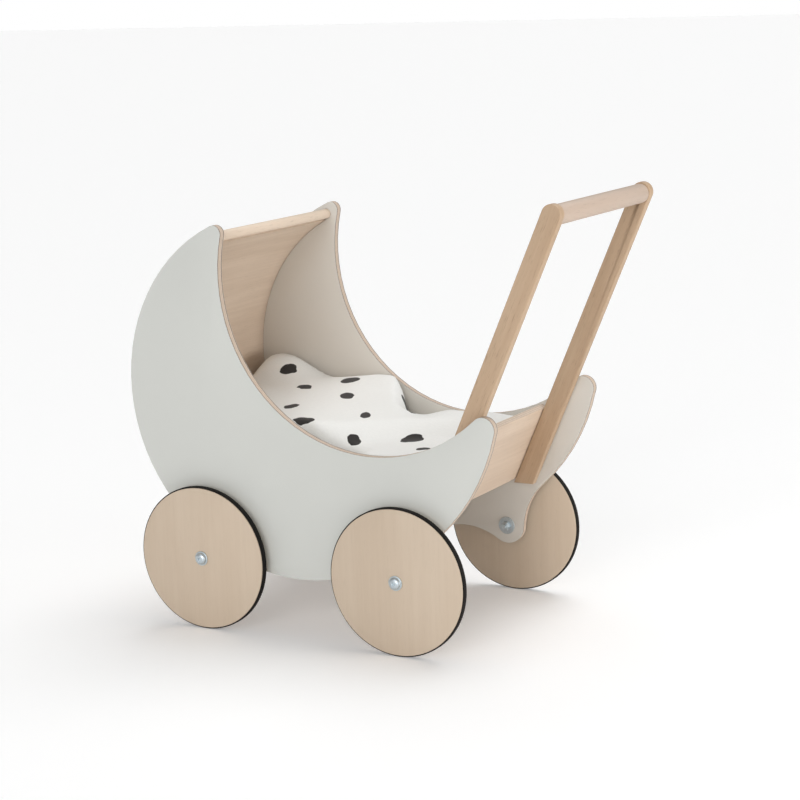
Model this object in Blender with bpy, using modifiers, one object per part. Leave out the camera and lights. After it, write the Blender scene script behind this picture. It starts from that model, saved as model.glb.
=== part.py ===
"""Doll stroller: a half-moon wooden pram on four freely turning wheels.

Everything hangs on one empty that stands on the ground under the rear (handle side) axle.
X runs from the hood (negative) to the handle (positive), Y across the pram, Z up, in metres.
The empty is shifted along X so that the whole pram is centred on the world's origin.
"""
import bpy
import bmesh
from math import acos, atan2, cos, pi, radians, sin, sqrt, tan
from mathutils import Matrix, Vector

# ---------------------------------------------------------------- driving dimensions
GAP = 0.0003                  # air between pieces that touch on the real pram
RUNNING_CLEARANCE = 0.00008   # radial play of a wheel bush on its bolt

WHEELBASE = 0.260
INNER_WIDTH = 0.246           # between the inner faces of the side panels
PANEL_THICKNESS = 0.009
WHEEL_RADIUS = 0.0835         # the wooden disc alone
WHEEL_THICKNESS = 0.009
TYRE_THICKNESS = 0.0015
TYRE_ROUNDING = 0.0004
WHEEL_STANDOFF = 0.0086       # side panel's outer face to the wheel's inner face

# Side panel outline. Places are measured from the middle of the wheelbase and from the axle height.
HOOD_CENTRE = (-0.0244, 0.1981)
HOOD_RADIUS = 0.2065
BELLY_RADIUS = 0.2258
HOOD_TO_BELLY_ANGLE = radians(217)
FOOT_CENTRE = (0.0221, 0.2249)
FOOT_RADIUS = 0.2307
MOUTH_CENTRE = (0.0926, 0.3291)
MOUTH_RADIUS = 0.1934
HOOD_TIP_RADIUS = 0.0098
FOOT_TIP_RADIUS = 0.0140
LOBE_RADIUS = 0.0220
LOBE_FILLET_RADIUS = 0.0820
ARC_STEP = radians(5)

# Bent hood and its crossbar
HOOD_SHEET_INSET = 0.0130     # outline of the side panel to the sheet's outer surface
HOOD_SHEET_THICKNESS = 0.0050
HOOD_GROOVE_DEPTH = 0.0030
GROOVE_RUN_OUT = 0.0025       # how far the groove runs on past each end of the sheet
CROSSBAR_DIAMETER = 0.0120
CROSSBAR_SOCKET_DEPTH = 0.0040
CROSSBAR_INSET = 0.0118       # outline of the side panel to the bar's centre
CROSSBAR_SETBACK = 0.0080     # along the hood, from the centre of its rounded tip to the bar's centre

# Handle
LEG_WIDTH = 0.0228
LEG_THICKNESS = 0.0110
LEG_LEAN = radians(23.9)      # from the vertical, towards the person who pushes
LEG_FOOT = (0.0283, 0.0570)   # centre of a leg's lower end, from the rear axle
GRIP_HEIGHT = 0.4930
GRIP_DIAMETER = 0.0220
GRIP_DROP = 0.0015            # centre of a leg's round top to the grip's centre, down the leg

# Boards between the side panels
FOOT_PANEL_THICKNESS = 0.0080
FOOT_PANEL_HEIGHT = 0.0975    # measured along the slope
FLOOR_THICKNESS = 0.0090
FLOOR_LIFT = 0.0550           # axle height to the floor's underside

# Hidden dowels
BOARD_DOWEL_DIAMETER = 0.0050
BOARD_DOWEL_LENGTH = 0.0240
LEG_DOWEL_DIAMETER = 0.0080
GRIP_DOWEL_DIAMETER = 0.0080
GRIP_DOWEL_LENGTH = 0.0260
BLIND_DEPTH = 0.0060          # depth of every blind dowel hole in a side panel or leg
FLOOR_DOWELS_PER_SIDE = 2
FOOT_DOWEL_SHARES = (0.22, 0.78)   # shares of the foot panel's height
LEG_DOWEL_SHARES = (0.25, 0.80)

# Wheel fastenings
BOLT_DIAMETER = 0.0060
BOLT_HEAD_DIAMETER = 0.0140
BOLT_HEAD_HEIGHT = 0.0036
BOLT_SOCKET_WIDTH = 0.0040    # across flats
BOLT_SOCKET_DEPTH = 0.0022
BOLT_RIM_SHARE = 0.30         # upright part of the head's rim, as a share of its height
BOLT_FLAT_SHARE = 0.58        # flat top of the head, as a share of its radius
BOLT_CHAMFER = 0.0005
BOLT_END_BEYOND_NUT = 0.0015
BUSH_WALL = 0.0012
SPACER_DIAMETER = 0.0160
HEAD_WASHER_DIAMETER = 0.0170
HEAD_WASHER_THICKNESS = 0.0012
NUT_WASHER_DIAMETER = 0.0210
NUT_WASHER_THICKNESS = 0.0015
NUT_WIDTH = 0.0100            # across flats
NUT_HEX_HEIGHT = 0.0046
NUT_COLLAR_HEIGHT = 0.0014
NUT_COLLAR_DIAMETER = 0.0088

# Bedding
BEDDING_SIDE_CLEARANCE = 0.0050
BEDDING_END_CLEARANCE = 0.0060
BEDDING_LAYER_GAP = 0.0015
MATTRESS_THICKNESS = 0.0280
PILLOW_LENGTH = 0.1500
PILLOW_THICKNESS = 0.0440
DUVET_THICKNESS = 0.0340
DUVET_STEP_LENGTH = 0.0250    # length of the slope where the duvet comes off the pillow

WHEEL_SEGMENTS = 64
GRIP_SEGMENTS = 32
CROSSBAR_SEGMENTS = 24
SMALL_SEGMENTS = 20
WELD = 0.00001                # merging distance for points that coincide
SMOOTH_UP_TO = radians(35)

# ---------------------------------------------------------------- values that follow
AXLE_HEIGHT = WHEEL_RADIUS + TYRE_THICKNESS
PANEL_INNER_Y = INNER_WIDTH / 2
PANEL_OUTER_Y = PANEL_INNER_Y + PANEL_THICKNESS
PANEL_MIDDLE_Y = (PANEL_INNER_Y + PANEL_OUTER_Y) / 2
BOLT_RADIUS = BOLT_DIAMETER / 2
HOLE_RADIUS = BOLT_RADIUS + GAP
SIDES = {"left": -1, "right": 1}
AXLES = {"front": -WHEELBASE, "rear": 0.0}


def body_point(place):
    """A place given from the middle of the wheelbase and the axle height, in the pram's own X and Z."""
    return Vector((place[0] - WHEELBASE / 2, place[1] + AXLE_HEIGHT))


# ---------------------------------------------------------------- plane geometry (X, Z)
def towards(angle):
    return Vector((cos(angle), sin(angle)))


def angle_of(vector):
    return atan2(vector.y, vector.x)


def arc(centre, radius, start, end):
    """Points on an arc from one angle to another, in whichever direction end lies."""
    steps = max(2, int(abs(end - start) / ARC_STEP) + 1)
    return [centre + radius * towards(start + (end - start) * i / steps) for i in range(steps + 1)]


def circles_meet(centre_a, radius_a, centre_b, radius_b):
    """The two points where two circles cross."""
    span = centre_b - centre_a
    distance = span.length
    along = (radius_a ** 2 - radius_b ** 2 + distance ** 2) / (2 * distance)
    across = sqrt(radius_a ** 2 - along ** 2)
    base = centre_a + span * (along / distance)
    side = Vector((-span.y, span.x)) * (across / distance)
    return base + side, base - side


def follow(angle, previous):
    """The same angle, moved by whole turns to lie within half a turn of the previous one."""
    while angle - previous > pi:
        angle -= 2 * pi
    while previous - angle > pi:
        angle += 2 * pi
    return angle


def lean_point(along, across):
    """A point of the leaning handle: distance up the leg, and distance in front of its centre line."""
    foot = Vector((LEG_FOOT[0], LEG_FOOT[1] + AXLE_HEIGHT))
    up = Vector((sin(LEG_LEAN), cos(LEG_LEAN)))
    forward = Vector((cos(LEG_LEAN), -sin(LEG_LEAN)))
    return foot + up * along + forward * across


HOOD_C = body_point(HOOD_CENTRE)
BELLY_C = HOOD_C + (HOOD_RADIUS - BELLY_RADIUS) * towards(HOOD_TO_BELLY_ANGLE)
FOOT_C = body_point(FOOT_CENTRE)
MOUTH_C = body_point(MOUTH_CENTRE)
HOOD_TIP_C = min(circles_meet(HOOD_C, HOOD_RADIUS - HOOD_TIP_RADIUS, MOUTH_C, MOUTH_RADIUS + HOOD_TIP_RADIUS),
                 key=lambda point: point.x)
FOOT_TIP_C = max(circles_meet(FOOT_C, FOOT_RADIUS - FOOT_TIP_RADIUS, MOUTH_C, MOUTH_RADIUS + FOOT_TIP_RADIUS),
                 key=lambda point: point.x)
CROSSBAR_C = HOOD_C + (HOOD_RADIUS - CROSSBAR_INSET) * towards(
    angle_of(HOOD_TIP_C - HOOD_C) + CROSSBAR_SETBACK / HOOD_RADIUS)
SHEET_OUTER = HOOD_RADIUS - HOOD_SHEET_INSET
SHEET_INNER = SHEET_OUTER - HOOD_SHEET_THICKNESS
LEG_LENGTH = (GRIP_HEIGHT - AXLE_HEIGHT - LEG_FOOT[1]) / cos(LEG_LEAN)
GRIP_CENTRE = lean_point(LEG_LENGTH, 0.0)
LEG_TOP_CENTRE = lean_point(LEG_LENGTH + GRIP_DROP, 0.0)
FLOOR_BOTTOM = AXLE_HEIGHT + FLOOR_LIFT
FLOOR_TOP = FLOOR_BOTTOM + FLOOR_THICKNESS
FOOT_PANEL_FRONT = -LEG_WIDTH / 2 - GAP
FOOT_PANEL_BACK = FOOT_PANEL_FRONT - FOOT_PANEL_THICKNESS


def side_outline():
    """The half moon with two wheel lobes, anticlockwise from the foot tip, seen with X to the right."""
    points = []
    reach = LOBE_RADIUS + LOBE_FILLET_RADIUS
    front = Vector((AXLES["front"], AXLE_HEIGHT))
    rear = Vector((AXLES["rear"], AXLE_HEIGHT))
    # foot tip, from the foot arc round to the mouth
    start = angle_of(FOOT_TIP_C - FOOT_C)
    end = follow(angle_of(MOUTH_C - FOOT_TIP_C), start + pi / 2)
    points += arc(FOOT_TIP_C, FOOT_TIP_RADIUS, start, end)
    # mouth, a hollow arc walked clockwise about its own centre
    start = angle_of(FOOT_TIP_C - MOUTH_C)
    end = angle_of(HOOD_TIP_C - MOUTH_C)
    while end > start:
        end -= 2 * pi
    points += arc(MOUTH_C, MOUTH_RADIUS, start, end)[1:]
    # hood tip
    start = angle_of(MOUTH_C - HOOD_TIP_C)
    end = follow(angle_of(HOOD_TIP_C - HOOD_C), start + pi / 2)
    points += arc(HOOD_TIP_C, HOOD_TIP_RADIUS, start, end)[1:]
    # round the hood to the outer fillet of the front lobe
    belly_fillet = fillet_centre(BELLY_C, BELLY_RADIUS, front, reach, outer=-1)
    points += arc(HOOD_C, HOOD_RADIUS, end, HOOD_TO_BELLY_ANGLE)[1:]
    points += arc(BELLY_C, BELLY_RADIUS, HOOD_TO_BELLY_ANGLE,
                  follow(angle_of(belly_fillet - BELLY_C), HOOD_TO_BELLY_ANGLE))[1:]
    points += lobe(front, BELLY_C, BELLY_RADIUS, BELLY_C, BELLY_RADIUS)
    left = fillet_centre(BELLY_C, BELLY_RADIUS, front, reach, outer=1)
    right = fillet_centre(BELLY_C, BELLY_RADIUS, rear, reach, outer=-1)
    start = angle_of(left - BELLY_C)
    points += arc(BELLY_C, BELLY_RADIUS, start, follow(angle_of(right - BELLY_C), start))[1:]
    points += lobe(rear, BELLY_C, BELLY_RADIUS, FOOT_C, FOOT_RADIUS)
    last = fillet_centre(FOOT_C, FOOT_RADIUS, rear, reach, outer=1)
    start = angle_of(last - FOOT_C)
    end = angle_of(FOOT_TIP_C - FOOT_C)
    points += arc(FOOT_C, FOOT_RADIUS, start, follow(end, start))[1:-1]
    return points


def fillet_centre(body_centre, body_radius, axle, reach, outer):
    """Centre of the hollow fillet between a body arc and a lobe, on the side of the lobe named by outer."""
    pair = circles_meet(body_centre, body_radius + LOBE_FILLET_RADIUS, axle, reach)
    return max(pair, key=lambda point: outer * point.x)


def lobe(axle, centre_in, radius_in, centre_out, radius_out):
    """Fillet, lobe and fillet, from a point on the incoming body arc to one on the outgoing arc."""
    reach = LOBE_RADIUS + LOBE_FILLET_RADIUS
    first = fillet_centre(centre_in, radius_in, axle, reach, outer=-1)
    second = fillet_centre(centre_out, radius_out, axle, reach, outer=1)
    start = angle_of(centre_in - first)
    points = arc(first, LOBE_FILLET_RADIUS, start, follow(angle_of(axle - first), start))[1:]
    start = angle_of(first - axle)
    end = angle_of(second - axle)
    while end < start:
        end += 2 * pi
    points += arc(axle, LOBE_RADIUS, start, end)[1:]
    start = angle_of(axle - second)
    points += arc(second, LOBE_FILLET_RADIUS, start, follow(angle_of(centre_out - second), start))[1:]
    return points


# ---------------------------------------------------------------- scene and materials
for thing in list(bpy.data.objects):
    bpy.data.objects.remove(thing, do_unlink=True)

parts = bpy.data.collections.new("doll_stroller")
cutters = bpy.data.collections.new("cutters")
bpy.context.scene.collection.children.link(parts)
bpy.context.scene.collection.children.link(cutters)


def material(name, colour, roughness, metallic=0.0):
    finish = bpy.data.materials.new(name)
    finish.use_nodes = True
    shader = finish.node_tree.nodes["Principled BSDF"]
    shader.inputs["Base Color"].default_value = (*colour, 1.0)
    shader.inputs["Roughness"].default_value = roughness
    shader.inputs["Metallic"].default_value = metallic
    return finish


LAMINATE = ((0.66, 0.66, 0.62), 0.45)
PLYWOOD = ((0.62, 0.48, 0.34), 0.55)
BEECH = ((0.70, 0.55, 0.42), 0.50)
RUBBER = ((0.02, 0.018, 0.016), 0.80)
ZINC = ((0.62, 0.66, 0.68), 0.35, 1.0)
NYLON = ((0.80, 0.79, 0.75), 0.50)
COTTON = ((0.86, 0.85, 0.83), 0.90)

frame = bpy.data.objects.new("pram_frame", None)
parts.objects.link(frame)
LEFT_END = HOOD_C.x - HOOD_RADIUS
RIGHT_END = max(LEG_TOP_CENTRE.x + LEG_WIDTH / 2, FOOT_TIP_C.x + FOOT_TIP_RADIUS)
frame.location = (-(LEFT_END + RIGHT_END) / 2, 0.0, 0.0)


# ---------------------------------------------------------------- making pieces
def place(piece, name, look, home=parts, parent=frame):
    """Names a piece, links it, gives it its own material and hangs it on its parent."""
    piece.name = name
    piece.data.name = name
    for collection in list(piece.users_collection):
        collection.objects.unlink(piece)
    home.objects.link(piece)
    piece.parent = parent
    if look is not None:
        piece.data.materials.clear()
        piece.data.materials.append(material(name, *look))
    if home is cutters:
        piece.hide_render = True
        piece.display_type = "WIRE"
    return piece


def board(name, outline, thickness, middle_y, look, home=parts):
    """A flat board: a filled outline in X and Z, with its thickness along Y."""
    curve = bpy.data.curves.new(name, "CURVE")
    curve.dimensions = "2D"
    curve.fill_mode = "BOTH"
    curve.extrude = thickness / 2
    spline = curve.splines.new("POLY")
    spline.points.add(len(outline) - 1)
    for point, place_2d in zip(spline.points, outline):
        point.co = (place_2d.x, place_2d.y, 0.0, 1.0)
    spline.use_cyclic_u = True
    flat = bpy.data.objects.new(name + "_outline", curve)
    cutters.objects.link(flat)
    evaluated = flat.evaluated_get(bpy.context.evaluated_depsgraph_get())
    mesh = bpy.data.meshes.new_from_object(evaluated)
    bpy.data.objects.remove(flat, do_unlink=True)
    tidy_caps(mesh)
    mesh.transform(Matrix.Rotation(pi / 2, 4, "X"))
    piece = bpy.data.objects.new(name, mesh)
    piece.location = (0.0, middle_y, 0.0)
    return place(piece, name, look, home)


def tidy_caps(mesh):
    """Welds a curve's loose caps to its walls and points the faces outwards."""
    model = bmesh.new()
    model.from_mesh(mesh)
    bmesh.ops.remove_doubles(model, verts=model.verts, dist=WELD)
    bmesh.ops.recalc_face_normals(model, faces=model.faces)
    model.to_mesh(mesh)
    model.free()


def turned(name, profile, segments, look, parent, home=parts, closed=True):
    """A turned piece: a profile of (radius, height) points, spun about its parent's Z by a Screw."""
    model = bmesh.new()
    corners = [model.verts.new((radius, 0.0, height)) for radius, height in profile]
    for first, second in zip(corners, corners[1:]):
        model.edges.new((first, second))
    if closed:
        model.edges.new((corners[-1], corners[0]))
    mesh = bpy.data.meshes.new(name)
    model.to_mesh(mesh)
    model.free()
    piece = bpy.data.objects.new(name, mesh)
    spin = piece.modifiers.new("Turn", "SCREW")
    spin.axis = "Z"
    spin.steps = segments
    spin.render_steps = segments
    spin.use_merge_vertices = True
    spin.merge_threshold = WELD
    spin.use_smooth_shade = False
    return place(piece, name, look, home, parent)


def ring(inner, outer, low, high, edge=0.0):
    """Profile of a ring, down its outer side and up its bore, with its outer edges cut off by edge."""
    if edge == 0.0:
        return [(outer, high), (outer, low), (inner, low), (inner, high)]
    return [(outer - edge, high), (outer, high - edge), (outer, low + edge), (outer - edge, low),
            (inner, low), (inner, high)]


def rod(name, radius, length, segments, look, location, axis="Y", home=parts, parent=frame):
    """A plain round rod centred at its location."""
    model = bmesh.new()
    bmesh.ops.create_cone(model, cap_ends=True, segments=segments, radius1=radius, radius2=radius, depth=length)
    if axis == "Y":
        bmesh.ops.rotate(model, verts=model.verts, matrix=Matrix.Rotation(pi / 2, 3, "X"))
    mesh = bpy.data.meshes.new(name)
    model.to_mesh(mesh)
    model.free()
    piece = bpy.data.objects.new(name, mesh)
    piece.location = location
    return place(piece, name, look, home, parent)


def dowels(name, diameter, length, places, middle_y):
    """A row of identical dowels on both sides of the pram, each a piece of its own."""
    for side_name, side in SIDES.items():
        for number, spot in enumerate(places, 1):
            label = "%s_%s" % (name, side_name)
            if len(places) > 1:
                label += "_%d" % number
            rod(label, diameter / 2, length, SMALL_SEGMENTS, BEECH, (spot.x, side * middle_y, spot.y))


def cut(piece, cutter):
    """Takes the cutter out of the piece with an exact Boolean."""
    trim = piece.modifiers.new("Cut " + cutter.name, "BOOLEAN")
    trim.operation = "DIFFERENCE"
    trim.solver = "EXACT"
    trim.object = cutter


# ---------------------------------------------------------------- side panels
def sheet_angles():
    """Start and end of the bent sheet, as angles about the hood centre."""
    bar = angle_of(CROSSBAR_C - HOOD_C)
    top = bar + (CROSSBAR_DIAMETER / 2 + GAP) / SHEET_INNER
    bottom = 3 * pi / 2 - acos((HOOD_C.y - FLOOR_BOTTOM) / SHEET_OUTER)
    return top, bottom


def sheet_outline(allowance, end_allowance):
    """Outline of the bent sheet, grown all round by the allowance."""
    top, bottom = sheet_angles()
    top -= end_allowance / SHEET_INNER
    bottom += end_allowance / SHEET_INNER
    outer = arc(HOOD_C, SHEET_OUTER + allowance, top, bottom)
    inner = arc(HOOD_C, SHEET_INNER - allowance, bottom, top)
    return outer + inner


def foot_dowel_places():
    """Dowels up the middle of the foot panel's thickness."""
    across = (FOOT_PANEL_FRONT + FOOT_PANEL_BACK) / 2
    return [lean_point(FOOT_PANEL_HEIGHT * share, across) for share in FOOT_DOWEL_SHARES]


def floor_ends(height):
    """X of the floor's two ends at a height: against the bent sheet, and against the foot panel."""
    drop = HOOD_C.y - height
    hood_end = HOOD_C.x - sqrt(SHEET_INNER ** 2 - drop ** 2) + GAP * 2
    bottom = lean_point(0.0, FOOT_PANEL_BACK - GAP)
    foot_end = bottom.x + (height - bottom.y) * tan(LEG_LEAN)
    return hood_end, foot_end


def floor_dowel_places():
    middle = FLOOR_BOTTOM + FLOOR_THICKNESS / 2
    hood_end, foot_end = floor_ends(middle)
    length = foot_end - hood_end
    count = FLOOR_DOWELS_PER_SIDE
    return [Vector((hood_end + length * (i + 0.5) / count, middle)) for i in range(count)]


def leg_dowel_places():
    return [lean_point(FOOT_PANEL_HEIGHT * share, 0.0) for share in LEG_DOWEL_SHARES]


def blind_holes(places, diameter, face_y, depth, inward):
    """Blind holes along Y: each starts just proud of the face at face_y and runs inward (+1 or -1)."""
    middle = face_y + inward * (depth - GAP) / 2
    return [(Vector((spot.x, middle, spot.y)), diameter / 2 + GAP, depth + GAP) for spot in places]


def drill(piece, holes):
    """Cuts a list of (centre, radius, length) holes along Y with one cutter of separate rods."""
    model = bmesh.new()
    for centre, radius, length in holes:
        made = bmesh.ops.create_cone(model, cap_ends=True, segments=SMALL_SEGMENTS, radius1=radius,
                                     radius2=radius, depth=length)
        bmesh.ops.rotate(model, verts=made["verts"], matrix=Matrix.Rotation(pi / 2, 3, "X"))
        bmesh.ops.translate(model, verts=made["verts"], vec=centre)
    mesh = bpy.data.meshes.new(piece.name + "_holes")
    model.to_mesh(mesh)
    model.free()
    cut(piece, place(bpy.data.objects.new(mesh.name, mesh), mesh.name, None, cutters))


for side_name, side in SIDES.items():
    panel = board("side_panel_" + side_name, side_outline(), PANEL_THICKNESS, side * PANEL_MIDDLE_Y, LAMINATE)
    groove = board("hood_groove_" + side_name, sheet_outline(GAP, GROOVE_RUN_OUT), HOOD_GROOVE_DEPTH + GAP,
                   side * (PANEL_INNER_Y + (HOOD_GROOVE_DEPTH - GAP) / 2), None, cutters)
    cut(panel, groove)
    inner = side * PANEL_INNER_Y
    holes = blind_holes([CROSSBAR_C], CROSSBAR_DIAMETER, inner, CROSSBAR_SOCKET_DEPTH, side)
    holes += blind_holes(foot_dowel_places(), BOARD_DOWEL_DIAMETER, inner, BLIND_DEPTH, side)
    holes += blind_holes(floor_dowel_places(), BOARD_DOWEL_DIAMETER, inner, BLIND_DEPTH, side)
    holes += blind_holes(leg_dowel_places(), LEG_DOWEL_DIAMETER, inner, BLIND_DEPTH, side)
    for axle_x in AXLES.values():
        centre = Vector((axle_x, side * PANEL_MIDDLE_Y, AXLE_HEIGHT))
        holes.append((centre, HOLE_RADIUS, PANEL_THICKNESS * 2))
    drill(panel, holes)

# ---------------------------------------------------------------- hood
board("hood_shell", sheet_outline(0.0, 0.0), INNER_WIDTH + 2 * (HOOD_GROOVE_DEPTH - GAP), 0.0, PLYWOOD)
rod("hood_crossbar", CROSSBAR_DIAMETER / 2, INNER_WIDTH + 2 * (CROSSBAR_SOCKET_DEPTH - GAP),
    CROSSBAR_SEGMENTS, BEECH, (CROSSBAR_C.x, 0.0, CROSSBAR_C.y))

# ---------------------------------------------------------------- floor and foot panel
BOARD_WIDTH = INNER_WIDTH - 2 * GAP
top_ends = floor_ends(FLOOR_TOP)
bottom_ends = floor_ends(FLOOR_BOTTOM)
floor = board("floor_panel", [Vector((bottom_ends[0], FLOOR_BOTTOM)), Vector((bottom_ends[1], FLOOR_BOTTOM)),
                              Vector((top_ends[1], FLOOR_TOP)), Vector((top_ends[0], FLOOR_TOP))],
              BOARD_WIDTH, 0.0, PLYWOOD)
foot_panel = board("foot_panel", [lean_point(0.0, FOOT_PANEL_BACK), lean_point(0.0, FOOT_PANEL_FRONT),
                                  lean_point(FOOT_PANEL_HEIGHT, FOOT_PANEL_FRONT),
                                  lean_point(FOOT_PANEL_HEIGHT, FOOT_PANEL_BACK)],
                   BOARD_WIDTH, 0.0, PLYWOOD)


DOWEL_END = PANEL_INNER_Y + BLIND_DEPTH - GAP
board_dowel_y = DOWEL_END - BOARD_DOWEL_LENGTH / 2
BOARD_HOLE_DEPTH = BOARD_DOWEL_LENGTH - BLIND_DEPTH + 2 * GAP
dowels("foot_panel_dowel", BOARD_DOWEL_DIAMETER, BOARD_DOWEL_LENGTH, foot_dowel_places(), board_dowel_y)
dowels("floor_panel_dowel", BOARD_DOWEL_DIAMETER, BOARD_DOWEL_LENGTH, floor_dowel_places(), board_dowel_y)
for target, spots in ((foot_panel, foot_dowel_places()), (floor, floor_dowel_places())):
    holes = []
    for side in SIDES.values():
        holes += blind_holes(spots, BOARD_DOWEL_DIAMETER, side * BOARD_WIDTH / 2, BOARD_HOLE_DEPTH, -side)
    drill(target, holes)

# ---------------------------------------------------------------- handle
LEG_OUTER_Y = PANEL_INNER_Y - GAP
LEG_INNER_Y = LEG_OUTER_Y - LEG_THICKNESS
LEG_MIDDLE_Y = (LEG_OUTER_Y + LEG_INNER_Y) / 2


def leg_outline():
    """A flat bar with a round top and a level lower end."""
    slope = LEG_WIDTH / 2 * tan(LEG_LEAN)
    bottom = [lean_point(-slope, -LEG_WIDTH / 2), lean_point(slope, LEG_WIDTH / 2)]
    top = arc(LEG_TOP_CENTRE, LEG_WIDTH / 2, -LEG_LEAN, pi - LEG_LEAN)
    return bottom + top


LEG_DOWEL_LENGTH = 2 * (BLIND_DEPTH - GAP)
for side_name, side in SIDES.items():
    leg = board("handle_leg_" + side_name, leg_outline(), LEG_THICKNESS, side * LEG_MIDDLE_Y, BEECH)
    holes = blind_holes(leg_dowel_places(), LEG_DOWEL_DIAMETER, side * LEG_OUTER_Y, BLIND_DEPTH, -side)
    holes += blind_holes([GRIP_CENTRE], GRIP_DOWEL_DIAMETER, side * LEG_INNER_Y, BLIND_DEPTH, side)
    drill(leg, holes)
dowels("leg_dowel", LEG_DOWEL_DIAMETER, LEG_DOWEL_LENGTH, leg_dowel_places(), (PANEL_INNER_Y + LEG_OUTER_Y) / 2)

GRIP_LENGTH = 2 * (LEG_INNER_Y - GAP)
grip = rod("handle_grip", GRIP_DIAMETER / 2, GRIP_LENGTH, GRIP_SEGMENTS, BEECH,
           (GRIP_CENTRE.x, 0.0, GRIP_CENTRE.y))
grip_dowel_y = LEG_INNER_Y + BLIND_DEPTH - GAP - GRIP_DOWEL_LENGTH / 2
dowels("grip_dowel", GRIP_DOWEL_DIAMETER, GRIP_DOWEL_LENGTH, [GRIP_CENTRE], grip_dowel_y)
GRIP_HOLE_DEPTH = GRIP_DOWEL_LENGTH - BLIND_DEPTH + 3 * GAP
holes = []
for side in SIDES.values():
    holes += blind_holes([GRIP_CENTRE], GRIP_DOWEL_DIAMETER, side * GRIP_LENGTH / 2, GRIP_HOLE_DEPTH, -side)
drill(grip, holes)

# ---------------------------------------------------------------- wheels
BUSH_INNER = BOLT_RADIUS + RUNNING_CLEARANCE
BUSH_OUTER = BUSH_INNER + BUSH_WALL
WHEEL_BACK = WHEEL_STANDOFF
WHEEL_FACE = WHEEL_BACK + WHEEL_THICKNESS
WASHER_BACK = WHEEL_FACE + GAP
WASHER_FACE = WASHER_BACK + HEAD_WASHER_THICKNESS
HEAD_BACK = WASHER_FACE + GAP
HEAD_TOP = HEAD_BACK + BOLT_HEAD_HEIGHT
NUT_WASHER_FACE = -PANEL_THICKNESS - GAP
NUT_WASHER_BACK = NUT_WASHER_FACE - NUT_WASHER_THICKNESS
NUT_FACE = NUT_WASHER_BACK - GAP
NUT_HEX_END = NUT_FACE - NUT_HEX_HEIGHT
NUT_END = NUT_HEX_END - NUT_COLLAR_HEIGHT
BOLT_END = NUT_END - BOLT_END_BEYOND_NUT


def bolt_profile():
    """Half of a button-head bolt, from the top of its head down to its far end."""
    crown = BOLT_HEAD_DIAMETER / 2
    rim = BOLT_HEAD_HEIGHT * BOLT_RIM_SHARE
    flat = crown * BOLT_FLAT_SHARE
    shape = [(0.0, HEAD_TOP), (flat, HEAD_TOP)]
    for step in (1, 2, 3):
        turn = pi / 2 * step / 3
        shape.append((flat + (crown - flat) * sin(turn), HEAD_BACK + rim + (BOLT_HEAD_HEIGHT - rim) * cos(turn)))
    return shape + [(crown, HEAD_BACK), (BOLT_RADIUS, HEAD_BACK), (BOLT_RADIUS, BOLT_END + BOLT_CHAMFER),
                    (BOLT_RADIUS - BOLT_CHAMFER, BOLT_END), (0.0, BOLT_END)]


def hexagon(name, across_flats, low, high, look, parent, home=parts):
    """A hexagonal prism about its parent's Z."""
    model = bmesh.new()
    radius = across_flats / 2 / cos(pi / 6)
    bmesh.ops.create_cone(model, cap_ends=True, segments=6, radius1=radius, radius2=radius, depth=high - low)
    bmesh.ops.translate(model, verts=model.verts, vec=(0.0, 0.0, (low + high) / 2))
    mesh = bpy.data.meshes.new(name)
    model.to_mesh(mesh)
    model.free()
    return place(bpy.data.objects.new(name, mesh), name, look, home, parent)


def lock_nut(name, parent):
    """A hexagon with a round collar for its locking ring, bored for the bolt."""
    nut = hexagon(name, NUT_WIDTH, NUT_HEX_END, NUT_FACE, ZINC, parent)
    overlap = NUT_HEX_HEIGHT / 2
    collar = turned(name + "_collar", [(0.0, NUT_HEX_END + overlap), (NUT_COLLAR_DIAMETER / 2, NUT_HEX_END + overlap),
                                       (NUT_COLLAR_DIAMETER / 2, NUT_END), (0.0, NUT_END)],
                    SMALL_SEGMENTS, None, parent, cutters, closed=False)
    join = nut.modifiers.new("Collar", "BOOLEAN")
    join.operation = "UNION"
    join.solver = "EXACT"
    join.object = collar
    bore = turned(name + "_bore", [(0.0, NUT_FACE + overlap), (HOLE_RADIUS, NUT_FACE + overlap),
                                   (HOLE_RADIUS, NUT_END - overlap), (0.0, NUT_END - overlap)],
                  SMALL_SEGMENTS, None, parent, cutters, closed=False)
    cut(nut, bore)
    return nut


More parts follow.
